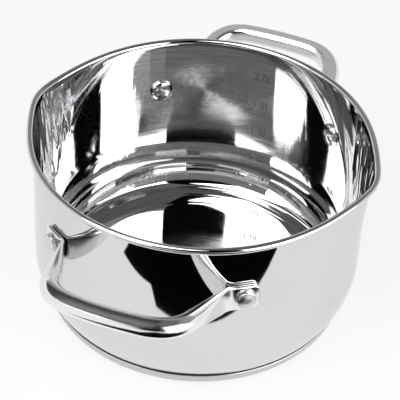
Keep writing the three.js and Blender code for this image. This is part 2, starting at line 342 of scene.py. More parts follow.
def with_map(tree, geometry, place):
    """Give each face corner its point's place in the flat map of the sheet."""
    placed = add_node(
        tree, "GeometryNodeStoreNamedAttribute",
        {"Geometry": geometry, "Name": "sheet_place", "Value": place},
        data_type="FLOAT_VECTOR", domain="POINT")
    of_point = add_node(
        tree, "GeometryNodeInputNamedAttribute", {"Name": "sheet_place"}, data_type="FLOAT_VECTOR")
    mapped = add_node(
        tree, "GeometryNodeStoreNamedAttribute",
        {"Geometry": placed, "Name": "UVMap", "Value": of_point},
        data_type="FLOAT2", domain="CORNER")
    return add_node(
        tree, "GeometryNodeRemoveAttribute", {"Geometry": mapped, "Name": "sheet_place"})


def point_mesh(name, places, **attributes):
    """Make a mesh of bare points with a number or a vector for each point."""
    mesh = bpy.data.meshes.new(name)
    mesh.from_pydata(places, [], [])
    for attribute_name, values in attributes.items():
        is_vector = not isinstance(values[0], (int, float))
        kind = "FLOAT_VECTOR" if is_vector else "FLOAT"
        attribute = mesh.attributes.new(attribute_name, kind, "POINT")
        for item, value in zip(attribute.data, values):
            if is_vector:
                item.vector = value
            else:
                item.value = value
    return mesh


def grown_piece(name, points, tree, values):
    """Grow a piece from its points by a tree, and keep the result as a plain mesh."""
    piece = bpy.data.objects.new(name, points)
    bpy.context.scene.collection.objects.link(piece)
    modifier = piece.modifiers.new(tree.name, "NODES")
    modifier.node_group = tree
    for item in tree.interface.items_tree:
        if item.in_out == "INPUT" and item.name in values:
            modifier[item.identifier] = values[item.name]
    depsgraph = bpy.context.evaluated_depsgraph_get()
    mesh = bpy.data.meshes.new_from_object(
        piece.evaluated_get(depsgraph), preserve_all_data_layers=True, depsgraph=depsgraph)
    piece.modifiers.remove(modifier)
    piece.data = mesh
    mesh.name = name
    while mesh.materials[0] is None:
        mesh.materials.pop(index=0)
    return piece


def dress(piece, slot, *nodes):
    """Tie a finished piece to the pot's body and hide the nodes that it stands for. The slot, which names
    its finish, is not used.
    """
    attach(piece, BODY)
    if nodes:
        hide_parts(*nodes)


def arc(x, z, radius, start, end, steps):
    """Points along an arc of a profile, both ends included."""
    angles = [start + (end - start) * i / steps for i in range(steps + 1)]
    return [(x + radius * math.cos(a), z + radius * math.sin(a)) for a in angles]


def smooth(share):
    """Ease from 0 to 1 without a kink at either end."""
    share = min(max(share, 0), 1)
    return share * share * (3 - 2 * share)


def distances_along(profile):
    """Distance of each profile point from the first one, along the profile."""
    along = [0.0]
    for before, after in zip(profile, profile[1:]):
        along.append(along[-1] + math.dist(before, after))
    return along


def turned_tree():
    """Tree that turns a profile of points about Z and lets two opposite lips swell out of it."""
    tree, given = new_tree("Turned sheet", {
        "Steps Round": "NodeSocketInt",
        "Wall Radius": "NodeSocketFloat",
        "Material": "NodeSocketMaterial",
        "Inside Material": "NodeSocketMaterial",
    })
    points = given["Geometry"]
    grid, row, angle = grid_round(tree, points, given["Steps Round"], 0.0)
    (profile,) = read_rows(tree, points, row, ("position",), "FLOAT_VECTOR")
    swell, lip_width, along, inside = read_rows(
        tree, points, row, ("swell", "lip_width", "along", "inside"))
    at = add_node(tree, "ShaderNodeSeparateXYZ", {0: profile}).outputs
    cosine = add_node(tree, "ShaderNodeMath", {0: angle}, operation="COSINE")
    sine = add_node(tree, "ShaderNodeMath", {0: angle}, operation="SINE")
    off_lip = add_node(tree, "ShaderNodeMath", {0: sine}, operation="ABSOLUTE")
    from_lip = add_node(tree, "ShaderNodeMath", {0: off_lip}, operation="ARCSINE")
    lip_angle = add_node(
        tree, "ShaderNodeMath", {0: lip_width, 1: given["Wall Radius"]}, operation="DIVIDE")
    widths = add_node(tree, "ShaderNodeMath", {0: from_lip, 1: lip_angle}, operation="DIVIDE")
    fall = add_node(tree, "ShaderNodeMath", {0: widths}, operation="COSH")
    swelling = add_node(tree, "ShaderNodeMath", {0: swell, 1: fall}, operation="DIVIDE")
    radius = add_node(tree, "ShaderNodeMath", {0: at["X"], 1: swelling}, operation="ADD")
    x = add_node(tree, "ShaderNodeMath", {0: radius, 1: cosine}, operation="MULTIPLY")
    y = add_node(tree, "ShaderNodeMath", {0: radius, 1: sine}, operation="MULTIPLY")
    turned = add_node(tree, "ShaderNodeCombineXYZ", {"X": x, "Y": y, "Z": at["Z"]})
    moved = add_node(tree, "GeometryNodeSetPosition", {"Geometry": grid, "Position": turned})
    round_wall = add_node(
        tree, "ShaderNodeMath", {0: angle, 1: given["Wall Radius"]}, operation="MULTIPLY")
    sheet_map = add_node(tree, "ShaderNodeCombineXYZ", {"X": round_wall, "Y": along})
    sided = add_node(
        tree, "GeometryNodeStoreNamedAttribute",
        {"Geometry": with_map(tree, moved, sheet_map), "Name": "is_inside", "Value": inside},
        data_type="BOOLEAN", domain="POINT")
    closed = add_node(
        tree, "GeometryNodeMergeByDistance", {"Geometry": sided, "Distance": SAME_PLACE})
    rounded = add_node(tree, "GeometryNodeSetShadeSmooth", {"Geometry": closed})
    real = add_node(tree, "GeometryNodeRealizeInstances", {"Geometry": rounded})
    dressed = add_node(
        tree, "GeometryNodeSetMaterial", {"Geometry": real, "Material": given["Material"]})
    inner = add_node(
        tree, "GeometryNodeInputNamedAttribute", {"Name": "is_inside"}, data_type="BOOLEAN")
    lined = add_node(tree, "GeometryNodeSetMaterial", {
        "Geometry": dressed, "Selection": inner, "Material": given["Inside Material"]})
    add_node(tree, "NodeGroupOutput", {"Geometry": lined})
    return tree


def profile_points(name, profile, **attributes):
    """Points of a profile for the turned tree. What isn't given has no lip and no inside."""
    count = len(profile)
    given = {"swell": [0.0] * count, "lip_width": [1.0] * count, "inside": [0.0] * count}
    given.update(attributes)
    return point_mesh(
        name, [(x, 0, z) for x, z in profile], along=distances_along(profile), **given)


def turned_piece(name, points, steps, wall_radius, material, inside_material=None):
    """Turn a profile's points about Z into a finished piece."""
    tree = bpy.data.node_groups.get("Turned sheet") or turned_tree()
    return grown_piece(name, points, tree, {
        "Steps Round": steps, "Wall Radius": wall_radius, "Material": material,
        "Inside Material": inside_material or material,
    })


def pressed_tube_tree():
    """Tree that lays a tube along a path of points and presses it flat where it isn't round."""
    tree, given = new_tree("Pressed tube", {
        "Sides": "NodeSocketInt",
        "Tube": "NodeSocketFloat",
        "Foot": "NodeSocketFloat",
        "Material": "NodeSocketMaterial",
    })
    points = given["Geometry"]
    tube = given["Tube"]
    grid, row, angle = grid_round(tree, points, given["Sides"], math.pi / 2)
    place, ahead = read_rows(tree, points, row, ("position", "ahead"), "FLOAT_VECTOR")
    roundness, trim, inset, along = read_rows(
        tree, points, row, ("round", "trim", "inset", "along"))
    thickness = add_node(
        tree, "ShaderNodeMapRange", {"Value": roundness, "To Min": given["Foot"], "To Max": tube})
    skin = add_node(tree, "ShaderNodeMath", {0: inset, 1: 2.0}, operation="MULTIPLY")
    thin = add_node(tree, "ShaderNodeMath", {0: thickness, 1: skin}, operation="SUBTRACT")
    girth = add_node(tree, "ShaderNodeMath", {0: tube, 1: thickness}, operation="SUBTRACT")
    half_flat = add_node(tree, "ShaderNodeMath", {0: girth, 1: math.pi / 4}, operation="MULTIPLY")
    half_thin = add_node(tree, "ShaderNodeMath", {0: thin, 1: 0.5}, operation="MULTIPLY")
    cosine = add_node(tree, "ShaderNodeMath", {0: angle}, operation="COSINE")
    sine = add_node(tree, "ShaderNodeMath", {0: angle}, operation="SINE")
    across = add_node(tree, "ShaderNodeMath", {0: half_thin, 1: cosine}, operation="MULTIPLY")
    sign = add_node(tree, "ShaderNodeMath", {0: sine}, operation="SIGN")
    shoulder = add_node(tree, "ShaderNodeMath", {0: half_flat, 1: sign}, operation="MULTIPLY")
    up = add_node(
        tree, "ShaderNodeMath", {0: half_thin, 1: sine, 2: shoulder}, operation="MULTIPLY_ADD")
    tall = add_node(tree, "ShaderNodeMath", {0: half_thin, 1: half_flat}, operation="ADD")
    kept = add_node(tree, "ShaderNodeMath", {0: tall, 1: trim}, operation="SUBTRACT")
    trimmed = add_node(tree, "ShaderNodeMath", {0: kept, 1: tall}, operation="DIVIDE")
    rise = add_node(tree, "ShaderNodeMath", {0: up, 1: trimmed}, operation="MULTIPLY")
    outwards = add_node(
        tree, "ShaderNodeVectorMath", {0: ahead, 1: (0, 0, 1)}, operation="CROSS_PRODUCT")
    side = add_node(tree, "ShaderNodeVectorMath", {0: outwards}, operation="NORMALIZE")
    upwards = add_node(tree, "ShaderNodeVectorMath", {0: side, 1: ahead}, operation="CROSS_PRODUCT")
    side_part = add_node(
        tree, "ShaderNodeVectorMath", {0: side, "Scale": across}, operation="SCALE")
    up_part = add_node(
        tree, "ShaderNodeVectorMath", {0: upwards, "Scale": rise}, operation="SCALE")
    section = add_node(tree, "ShaderNodeVectorMath", {0: side_part, 1: up_part}, operation="ADD")
    skinned = add_node(tree, "ShaderNodeVectorMath", {0: place, 1: section}, operation="ADD")
    moved = add_node(tree, "GeometryNodeSetPosition", {"Geometry": grid, "Position": skinned})
    round_tube = add_node(tree, "ShaderNodeMath", {0: angle, 1: tube}, operation="MULTIPLY")
    tube_map = add_node(tree, "ShaderNodeCombineXYZ", {"X": along, "Y": round_tube})
    closed = add_node(
        tree, "GeometryNodeMergeByDistance",
        {"Geometry": with_map(tree, moved, tube_map), "Distance": SAME_PLACE})
    outward = add_node(tree, "GeometryNodeFlipFaces", {"Mesh": closed})
    rounded = add_node(tree, "GeometryNodeSetShadeSmooth", {"Geometry": outward})
    finish_tree(tree, rounded, given["Material"])
    return tree


def rivet_tree():
    """Tree that sets the rivets of both handles, turned from one profile, square to the wall."""
    handles = 2
    per_handle = 2
    tree, given = new_tree("Rivet set", {
        "Sides": "NodeSocketInt",
        "Head Radius": "NodeSocketFloat",
        "Wall Radius": "NodeSocketFloat",
        "Height": "NodeSocketFloat",
        "Rivet Angle": "NodeSocketFloat",
        "Material": "NodeSocketMaterial",
    })
    turned = bpy.data.node_groups.get("Turned sheet") or turned_tree()
    rivet = add_node(tree, "GeometryNodeGroup", {
        "Geometry": given["Geometry"], "Steps Round": given["Sides"],
        "Wall Radius": given["Head Radius"], "Material": given["Material"],
        "Inside Material": given["Material"]}, node_tree=turned)
    laid = add_node(
        tree, "GeometryNodeTransform", {"Geometry": rivet, "Rotation": (0, math.pi / 2, 0)})
    index = add_node(tree, "GeometryNodeInputIndex")
    share = add_node(tree, "ShaderNodeMath", {0: index, 1: per_handle}, operation="DIVIDE")
    handle = add_node(tree, "ShaderNodeMath", {0: share}, operation="FLOOR")
    hand = add_node(tree, "ShaderNodeMath", {0: index, 1: per_handle}, operation="FLOORED_MODULO")
    side = add_node(
        tree, "ShaderNodeMath", {0: hand, 1: 2.0, 2: -1.0}, operation="MULTIPLY_ADD")
    lean = add_node(
        tree, "ShaderNodeMath", {0: side, 1: given["Rivet Angle"], 2: math.pi / 2},
        operation="MULTIPLY_ADD")
    turn = add_node(
        tree, "ShaderNodeMath", {0: handle, 1: math.pi, 2: lean}, operation="MULTIPLY_ADD")
    cosine = add_node(tree, "ShaderNodeMath", {0: turn}, operation="COSINE")
    sine = add_node(tree, "ShaderNodeMath", {0: turn}, operation="SINE")
    x = add_node(
        tree, "ShaderNodeMath", {0: cosine, 1: given["Wall Radius"]}, operation="MULTIPLY")
    y = add_node(tree, "ShaderNodeMath", {0: sine, 1: given["Wall Radius"]}, operation="MULTIPLY")
    place = add_node(tree, "ShaderNodeCombineXYZ", {"X": x, "Y": y, "Z": given["Height"]})
    points = add_node(
        tree, "GeometryNodePoints", {"Count": handles * per_handle, "Position": place})
    facing = add_node(tree, "ShaderNodeCombineXYZ", {"Z": turn})
    rivets = add_node(
        tree, "GeometryNodeInstanceOnPoints",
        {"Points": points, "Instance": laid, "Rotation": facing})
    finish_tree(tree, rivets, given["Material"])
    return tree


def tick_tree():
    """Tree that puts a short mark round the wall at each point, spread to the wall's radius there."""
    mark_steps = 12
    tree, given = new_tree("Scale ticks", {
        "Radius": "NodeSocketFloat",
        "Start": "NodeSocketFloat",
        "Sweep": "NodeSocketFloat",
        "Line": "NodeSocketFloat",
        "Depth": "NodeSocketFloat",
        "Material": "NodeSocketMaterial",
    })
    path = add_node(
        tree, "GeometryNodeCurveArc",
        {"Resolution": mark_steps, "Radius": given["Radius"], "Start Angle": given["Start"],
         "Sweep Angle": given["Sweep"]}, mode="RADIUS")
    bar = add_node(
        tree, "GeometryNodeCurvePrimitiveQuadrilateral",
        {"Width": given["Depth"], "Height": given["Line"]})
    mark = add_node(
        tree, "GeometryNodeCurveToMesh",
        {"Curve": path, "Profile Curve": bar, "Fill Caps": True})
    spread = add_node(
        tree, "GeometryNodeInputNamedAttribute", {"Name": "spread"}, data_type="FLOAT")
    size = add_node(tree, "ShaderNodeCombineXYZ", {"X": spread, "Y": spread, "Z": 1.0})
    marks = add_node(
        tree, "GeometryNodeInstanceOnPoints",
        {"Points": given["Geometry"], "Instance": mark, "Scale": size})
    finish_tree(tree, marks, given["Material"])
    return tree


def new_metal(name):
    """Start a metal's material: its node tree and its shader, fully metallic."""
    material = bpy.data.materials.new(name)
    material.use_nodes = True
    shader = material.node_tree.nodes["Principled BSDF"]
    shader.inputs["Metallic"].default_value = 1
    return material, material.node_tree, shader


def link_metal(tree, shader, base, shade, rough, relief=None):
    """Give a metal its colour, lightened or darkened by a shade, its roughness and its relief."""
    tone = add_node(tree, "ShaderNodeHueSaturation", {"Color": (*base, 1), "Value": shade})
    tree.links.new(tone.outputs["Color"], shader.inputs["Base Color"])
    tree.links.new(rough.outputs[0], shader.inputs["Roughness"])
    if relief is not None:
        tree.links.new(relief.outputs["Normal"], shader.inputs["Normal"])


def spread_square(tree, shader, share):
    """Spread a metal's reflections square to lines that run round the axis."""
    tangent = add_node(tree, "ShaderNodeTangent", direction_type="UV_MAP", uv_map="UVMap")
    tree.links.new(tangent.outputs["Tangent"], shader.inputs["Tangent"])
    shader.inputs["Anisotropic"].default_value = share
    shader.inputs["Anisotropic Rotation"].default_value = QUARTER_TURN


def drawn_noise(tree, sizes, detail):
    """Noise on a piece's flat map, drawn out to a size in each of the map's two directions."""
    flat_map = add_node(tree, "ShaderNodeUVMap", uv_map="UVMap")
    drawn = add_node(
        tree, "ShaderNodeMapping", {"Vector": flat_map, "Scale": (1 / sizes[0], 1 / sizes[1], 1)})
    return add_node(
        tree, "ShaderNodeTexNoise", {"Vector": drawn, "Scale": 1.0, "Detail": detail})


def from_axis(tree, place):
    """Distance of a place from the pot's axis."""
    flat = add_node(tree, "ShaderNodeVectorMath", {0: place, 1: (1, 1, 0)}, operation="MULTIPLY")
    away = add_node(tree, "ShaderNodeVectorMath", {0: flat}, operation="LENGTH")
    return away.outputs["Value"]


def mirror_steel(finishes):
    """Stainless steel, deep drawn and mirror polished.

    The eye sees an almost perfect mirror whose picture waves a little where the sheet was
    drawn, with a thin haze of polishing here and there.
    """
    cloud_size = 0.035
    cloud_range = {"From Min": 0.35, "From Max": 0.7}
    haze = {"To Min": 0.03, "To Max": 0.06}
    shades = {"To Min": 1.0, "To Max": 0.97}
    wave_size = 0.022
    wave_height = 0.0003
    wave_strength = 0.25
    material, tree, shader = new_metal("stainless steel, mirror polished")
    place = add_node(tree, "ShaderNodeTexCoord").outputs["Object"]
    cloud = add_node(
        tree, "ShaderNodeTexNoise", {"Vector": place, "Scale": 1 / cloud_size, "Detail": 3.0})
    rough = add_node(tree, "ShaderNodeMapRange", {"Value": cloud, **cloud_range, **haze})
    shade = add_node(tree, "ShaderNodeMapRange", {"Value": cloud, **cloud_range, **shades})
    wave = add_node(
        tree, "ShaderNodeTexNoise", {"Vector": place, "Scale": 1 / wave_size, "Detail": 0.0})
    relief = add_node(
        tree, "ShaderNodeBump",
        {"Height": wave, "Strength": wave_strength, "Distance": wave_height})
    link_metal(tree, shader, finishes.outside_steel, shade, rough, relief)
    return material


def brushed_steel(finishes):
    """Stainless steel, polished round the inside of the wall and turned in the floor's middle.

    The eye sees clear reflections on the wall, broken by fine level lines, and in the floor's
    middle bright and dark wedges that meet at the axis. The real lines are about 0.1 mm apart,
    too fine to show, so they are drawn about 1.4 mm apart. Where the lips were pressed out, the
    sheet has waves and dull streaks that run up the wall, further round at the right lip.
    """
    line_size = (0.03, 0.0014)
    line_grain = {"To Min": 0.7, "To Max": 1.3}
    line_shades = {"To Min": 0.84, "To Max": 1.08}
    line_strength = 0.012
    turned_zone = {"From Min": 0.022, "From Max": 0.04}
    turned_to_polished = {"To Min": 0.24, "To Max": 0.035}
    streak_size = (0.007, 0.025)
    streak_range = {"From Min": 0.35, "From Max": 0.6}
    streak_dullness = {"To Min": 0.02, "To Max": 0.2}
    lip_zone = {"From Min": 0.0865, "From Max": 0.0905}
    right_spread = 0.016
    pressed_zone = {"From Min": 0.045, "From Max": 0.07}
    wave_height = 0.0012
    material, tree, shader = new_metal("stainless steel, polished round")
    place = add_node(tree, "ShaderNodeTexCoord").outputs["Object"]
    lines = drawn_noise(tree, line_size, 2.0)
    finish = add_node(
        tree, "ShaderNodeMapRange",
        {"Value": from_axis(tree, place), **turned_zone, **turned_to_polished})
    grain = add_node(tree, "ShaderNodeMapRange", {"Value": lines, **NOISE_RANGE, **line_grain})
    rough = add_node(tree, "ShaderNodeMath", {0: grain, 1: finish}, operation="MULTIPLY")
    shade = add_node(tree, "ShaderNodeMapRange", {"Value": lines, **NOISE_RANGE, **line_shades})
    streaks = drawn_noise(tree, streak_size, 1.0)
    dull = add_node(
        tree, "ShaderNodeMapRange", {"Value": streaks, **streak_range, **streak_dullness})
    at = add_node(tree, "ShaderNodeSeparateXYZ", {0: place}).outputs
    to_left = add_node(tree, "ShaderNodeMath", {0: at["X"], 1: -1.0}, operation="MULTIPLY")
    to_right = add_node(tree, "ShaderNodeMath", {0: at["X"], 1: right_spread}, operation="ADD")
    aside = add_node(tree, "ShaderNodeMath", {0: to_left, 1: to_right}, operation="MAXIMUM")
    in_lip = add_node(tree, "ShaderNodeMapRange", {"Value": aside, **lip_zone})
    pressed = add_node(tree, "ShaderNodeMapRange", {"Value": at["Z"], **pressed_zone})
    lip = add_node(tree, "ShaderNodeMath", {0: in_lip, 1: pressed}, operation="MULTIPLY")
    dull_lip = add_node(tree, "ShaderNodeMath", {0: dull, 1: lip}, operation="MULTIPLY")
    bright = add_node(tree, "ShaderNodeMath", {0: 1.0, 1: dull_lip}, operation="SUBTRACT")
    line_relief = add_node(
        tree, "ShaderNodeBump",
        {"Height": lines, "Strength": line_strength, "Distance": LINE_DEPTH})
    waves = add_node(tree, "ShaderNodeMath", {0: streaks, 1: lip}, operation="MULTIPLY")
    relief = add_node(tree, "ShaderNodeBump", {
        "Height": waves, "Strength": 1.0, "Distance": wave_height, "Normal": line_relief})
    link_metal(tree, shader, finishes.inside_steel, shade, rough, relief)
    tree.links.new(bright.outputs["Value"], shader.inputs["Metallic"])
    spread_square(tree, shader, 1)
    return material


def tube_steel(finishes):
    """Stainless steel tube, drawn and polished along its length.

    The eye sees long soft highlights along the tube with faint lines in the same direction,
    drawn 0.5 mm apart so that they show.
    """
    line_size = (0.02, 0.0005)
    line_roughness = {"To Min": 0.13, "To Max": 0.19}
    line_shades = {"To Min": 0.95, "To Max": 1.0}
    line_strength = 0.05
    material, tree, shader = new_metal("stainless steel tube, polished")
    lines = drawn_noise(tree, line_size, 2.0)
    rough = add_node(tree, "ShaderNodeMapRange", {"Value": lines, **NOISE_RANGE, **line_roughness})
    shade = add_node(tree, "ShaderNodeMapRange", {"Value": lines, **NOISE_RANGE, **line_shades})
    relief = add_node(
        tree, "ShaderNodeBump",
        {"Height": lines, "Strength": line_strength, "Distance": LINE_DEPTH})
    link_metal(tree, shader, finishes.tube_steel, shade, rough, relief)
    return material


def rivet_steel(finishes):
    """Stainless steel rivet, cold headed, tumbled outside and polished inside the pot.

    The eye sees a soft bright head with small dents on the foot, and a clear one in the pot.
    """
    dent_size = 0.0018
    dent_grain = {"To Min": 0.8, "To Max": 1.2}
    dent_shades = {"To Min": 0.94, "To Max": 1.0}
    dent_strength = 0.3
    wall_zone = {"From Min": 0.0895, "From Max": 0.092}
    polished_to_tumbled = {"To Min": 0.12, "To Max": 0.32}
    material, tree, shader = new_metal("stainless steel rivet, tumbled bright")
    place = add_node(tree, "ShaderNodeTexCoord").outputs["Object"]
    finish = add_node(
        tree, "ShaderNodeMapRange",
        {"Value": from_axis(tree, place), **wall_zone, **polished_to_tumbled})
    dents = add_node(
        tree, "ShaderNodeTexNoise", {"Vector": place, "Scale": 1 / dent_size, "Detail": 1.0})
    grain = add_node(tree, "ShaderNodeMapRange", {"Value": dents, **NOISE_RANGE, **dent_grain})
    rough = add_node(tree, "ShaderNodeMath", {0: grain, 1: finish}, operation="MULTIPLY")
    shade = add_node(tree, "ShaderNodeMapRange", {"Value": dents, **NOISE_RANGE, **dent_shades})
    relief = add_node(
        tree, "ShaderNodeBump",
        {"Height": dents, "Strength": dent_strength, "Distance": LINE_DEPTH})
    link_metal(tree, shader, finishes.rivet_steel, shade, rough, relief)
    return material


def satin_steel(finishes):
    """Stainless steel, pressed into a cap and turned to a satin finish.

    The eye sees a soft grey sheen with fine rings round the axis, drawn 0.6 mm apart.
    """
    ring_size = (0.05, 0.0006)
    ring_roughness = {"To Min": 0.28, "To Max": 0.42}
    ring_shades = {"To Min": 0.9, "To Max": 1.0}
    ring_strength = 0.15
    ring_spread = 0.5
    material, tree, shader = new_metal("stainless steel, satin turned")
    rings = drawn_noise(tree, ring_size, 3.0)
    rough = add_node(tree, "ShaderNodeMapRange", {"Value": rings, **NOISE_RANGE, **ring_roughness})
    shade = add_node(tree, "ShaderNodeMapRange", {"Value": rings, **NOISE_RANGE, **ring_shades})
    relief = add_node(
        tree, "ShaderNodeBump",
        {"Height": rings, "Strength": ring_strength, "Distance": LINE_DEPTH})
    link_metal(tree, shader, finishes.cap_steel, shade, rough, relief)
    spread_square(tree, shader, ring_spread)
    return material


def bare_aluminium(finishes):
    """Aluminium, rolled and stamped into a disc, left bare.

    The eye sees a dull, pale grey metal with a fine cloudy grain.
    """
    grain_size = 0.002
    grain_roughness = {"To Min": 0.4, "To Max": 0.55}
    grain_shades = {"To Min": 0.92, "To Max": 1.0}
    material, tree, shader = new_metal("aluminium, rolled and bare")
    place = add_node(tree, "ShaderNodeTexCoord").outputs["Object"]
    grain = add_node(
        tree, "ShaderNodeTexNoise", {"Vector": place, "Scale": 1 / grain_size, "Detail": 4.0})
    rough = add_node(
        tree, "ShaderNodeMapRange", {"Value": grain, **NOISE_RANGE, **grain_roughness})
    shade = add_node(tree, "ShaderNodeMapRange", {"Value": grain, **NOISE_RANGE, **grain_shades})
    link_metal(tree, shader, finishes.aluminium, shade, rough)
    return material


def etched_steel(finishes):
    """Stainless steel, darkened by electrolytic etching.

    The eye sees thin dull grey marks that break up a little at their edges.
    """
    grain_size = 0.0006
    grain_roughness = {"To Min": 0.45, "To Max": 0.6}
    grain_shades = {"To Min": 0.7, "To Max": 1.3}
    dull_metal = 0.3
    material, tree, shader = new_metal("stainless steel, etched dark")
    place = add_node(tree, "ShaderNodeTexCoord").outputs["Object"]
    grain = add_node(
        tree, "ShaderNodeTexNoise", {"Vector": place, "Scale": 1 / grain_size, "Detail": 2.0})
    rough = add_node(
        tree, "ShaderNodeMapRange", {"Value": grain, **NOISE_RANGE, **grain_roughness})
    shade = add_node(tree, "ShaderNodeMapRange", {"Value": grain, **NOISE_RANGE, **grain_shades})
    link_metal(tree, shader, finishes.etching, shade, rough)
    shader.inputs["Metallic"].default_value = dull_metal
    return material


def sweep_curve(sizes):
    """Radius of the wide curve below the wall, and how far its middle lies from the axis."""
    drop = sizes.wall_foot - sizes.underside - sizes.corner
    radius = sizes.corner + (sizes.sweep_inset ** 2 + drop ** 2) / (2 * sizes.sweep_inset)
    return radius, sizes.wall_radius - radius


def inner_wall_at(sizes, height):
    """Radius of the wall's inner face at a height, also where it curves in."""
    sweep, sweep_x = sweep_curve(sizes)
    drop = max(sizes.wall_foot - height, 0)
    return sweep_x + math.sqrt((sweep - sizes.sheet) ** 2 - drop ** 2)


def bowl_profile(sizes, inset):
    """One face of the sheet from the end of the floor to the foot of the wall."""
    corner_steps = 12
    sweep_steps = 20
    corner_x = sizes.wall_radius - sizes.sweep_inset - sizes.corner
    corner_z = sizes.underside + sizes.corner
    sweep, sweep_x = sweep_curve(sizes)
    meet = math.atan2(corner_z - sizes.wall_foot, corner_x - sweep_x)
    corner = arc(corner_x, corner_z, sizes.corner - inset, -math.pi / 2, meet, corner_steps)
    return corner + arc(sweep_x, sizes.wall_foot, sweep - inset, meet, 0, sweep_steps)[1:]


def wall_points(radius, start, end):
    """Points up or down an upright wall, without its ends."""
    steps = 30
    return [(radius, start + (end - start) * i / steps) for i in range(1, steps)]


def floor_points(sizes, start):
    """Points of the inner floor from its edge to the axis, with its two fine grooves."""
    floor_steps = 24
    groove_steps = 6
    level = sizes.underside + sizes.sheet
    rings = (sizes.ring_radius, sizes.ring_radius + sizes.ring_spacing)
    half = sizes.ring_width / 2
    radii = [start * i / floor_steps for i in range(floor_steps)]
    depths = {
        radius: 0.0 for radius in radii if all(abs(radius - ring) > half for ring in rings)}
    for ring in rings:
        for i in range(-groove_steps, groove_steps + 1):
            share = i / groove_steps
            depths[ring + half * share] = sizes.ring_depth * (1 - smooth(abs(share)))
    return [(radius, level - depths[radius]) for radius in sorted(depths, reverse=True)]


def body_profile(sizes):
    """The sheet's profile: up the outside, round the rolled rim and down the inside.

    What comes back is the profile, and how many of its points come before the inside.
    """
    crevice_steps = 6
    rim_steps = 40
    gap = sizes.curl_gap
    inner_radius = sizes.wall_radius - sizes.sheet
    bead = sizes.rim_width / 2
    bead_x = inner_radius + bead
    bead_z = sizes.height - bead
    curl_x = sizes.wall_radius + gap
    curl_start = -math.acos((curl_x + gap - bead_x) / bead)
    crevice_top = bead_z - gap
    rim = arc(bead_x, bead_z, bead, curl_start, math.pi, rim_steps)
    rim_start = rim[0][1]
    outside = [(0, sizes.underside), *bowl_profile(sizes, 0)]
    outside += wall_points(sizes.wall_radius, sizes.wall_foot, crevice_top)
    outside += arc(
        sizes.wall_radius + gap / 2, crevice_top, gap / 2, math.pi, 0, crevice_steps)
    outside += [(curl_x, rim_start + 2 * gap), (curl_x, rim_start + gap), *rim]
    bowl = bowl_profile(sizes, sizes.sheet)[::-1]
    inside = wall_points(inner_radius, bead_z, sizes.wall_foot)
    inside += bowl + floor_points(sizes, bowl[-1][0])
    return outside + inside, len(outside)


class POT_OT_body(bpy.types.Operator):
    """Make the pot's body: one drawn sheet with a rolled rim and two pouring lips"""

    bl_idname = "pot.body"
    bl_label = "Pot body"

    def execute(self, context):
        sizes = context.scene.pot_body
        finishes = context.scene.pot_finishes
        profile, inside_from = body_profile(sizes)
        climbs = [
            min(max((z - sizes.height + sizes.lip_depth) / sizes.lip_depth, 0), 1) for _, z in profile]
        points = profile_points(
            "pot_shell", profile,
            swell=[sizes.lip_reach * climb ** sizes.lip_fade for climb in climbs],
            lip_width=[
                sizes.lip_width * (1 - sizes.lip_narrowing * (1 - climb)) for climb in climbs],
            inside=[float(i >= inside_from) for i in range(len(profile))])
        piece = turned_piece(
            "pot_shell", points, sizes.steps_round, sizes.wall_radius,
            mirror_steel(finishes), brushed_steel(finishes))
        dress(piece, "mirror_steel", "pot_body")
        return {"FINISHED"}


def dish_points(sizes):
    """Points of the shallow dish under the base, from the axis to the dish's edge."""
    flat_steps = 4
    edge_start = 0.9
    edge_steps = 5
    shares = [i / flat_steps for i in range(flat_steps)]
    shares += [edge_start + (1 - edge_start) * i / edge_steps for i in range(edge_steps + 1)]
    return [
        (sizes.dish_radius * share,
         sizes.dish_depth * smooth((1 - share) * sizes.dish_radius / sizes.dish_slope))
        for share in shares]


def cap_profile(sizes):
    """The cap's profile: out along the underside, round the upper edge and back inside."""
    edge_steps = 14
    lip_steps = 10
    edge_x = sizes.radius - sizes.edge
    lip = sizes.sheet / 2
    profile = dish_points(sizes)
    profile += arc(edge_x, sizes.edge, sizes.edge, -math.pi / 2, 0, edge_steps)
    profile += arc(sizes.radius - lip, sizes.height - lip, lip, 0, math.pi, lip_steps)
    profile += arc(edge_x, sizes.edge, sizes.edge - sizes.sheet, 0, -math.pi / 2, edge_steps)
    profile.append((0, sizes.sheet))
    return profile


class POT_OT_base(bpy.types.Operator):
    """Make the base cap, and give the disc inside it its metal"""

    bl_idname = "pot.base"
    bl_label = "Pot base"

    def execute(self, context):
        sizes = context.scene.pot_base
        finishes = context.scene.pot_finishes
        piece = turned_piece(
            "base_shell", profile_points("base_shell", cap_profile(sizes)),
            context.scene.pot_body.steps_round, sizes.radius, satin_steel(finishes))
        dress(piece, "satin_steel", "base_cap")
        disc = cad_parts["heat_spreader"]
        disc.data.materials.clear()
        disc.data.materials.append(bare_aluminium(finishes))
        return {"FINISHED"}


def bend_at(start, middle, end, share):
    """Place on a curve from a start to an end that is bent towards a middle point."""
    return (1 - share) ** 2 * start + 2 * share * (1 - share) * middle + share ** 2 * end


